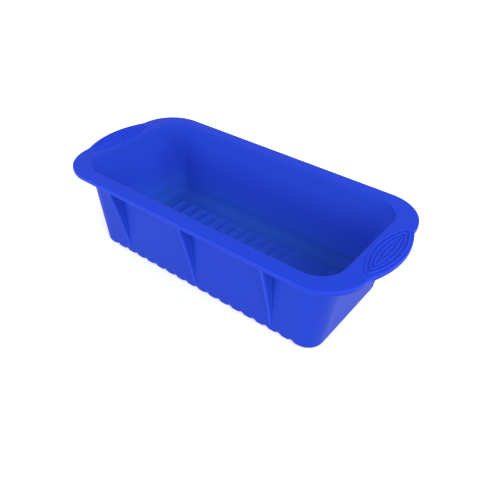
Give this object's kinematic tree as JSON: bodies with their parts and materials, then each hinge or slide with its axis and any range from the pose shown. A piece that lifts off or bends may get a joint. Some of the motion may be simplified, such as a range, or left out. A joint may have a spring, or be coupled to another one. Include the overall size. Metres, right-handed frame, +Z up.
{
  "type": "silicone soap mould",
  "caption": "Flexible loaf-shaped soap mould: a tapered tub with a flat rim, ridged thumb grips at both ends, side gussets and a cross-ridged floor.",
  "frame": {"origin": "centre of the base, on the surface the mould stands on", "axes": "+X along the mould's length, +Y towards the back long wall, +Z up out of the open mouth"},
  "size_m": [0.2542, 0.1174, 0.0658],
  "materials": {
    "silicone": "moulded blue silicone, satin with a fine powdery bloom",
    "silicone_rim": "moulded blue silicone, slightly smoother where hands rub it"
  },
  "bodies": {
    "root": {"floor_panel": "silicone", "floor_ridges": "silicone", "front_wall": "silicone", "back_wall": "silicone", "left_end_wall": "silicone", "right_end_wall": "silicone", "front_left_corner": "silicone", "front_right_corner": "silicone", "back_left_corner": "silicone", "back_right_corner": "silicone", "rim_front": "silicone_rim", "rim_back": "silicone_rim", "rim_left_end": "silicone_rim", "rim_right_end": "silicone_rim", "left_grip": "silicone_rim", "right_grip": "silicone_rim", "left_leaf_ridges": "silicone_rim", "right_leaf_ridges": "silicone_rim", "front_gusset_left": "silicone", "front_gusset_middle": "silicone", "front_gusset_right": "silicone", "back_gusset_left": "silicone", "back_gusset_middle": "silicone", "back_gusset_right": "silicone"}
  },
  "joints": []
}
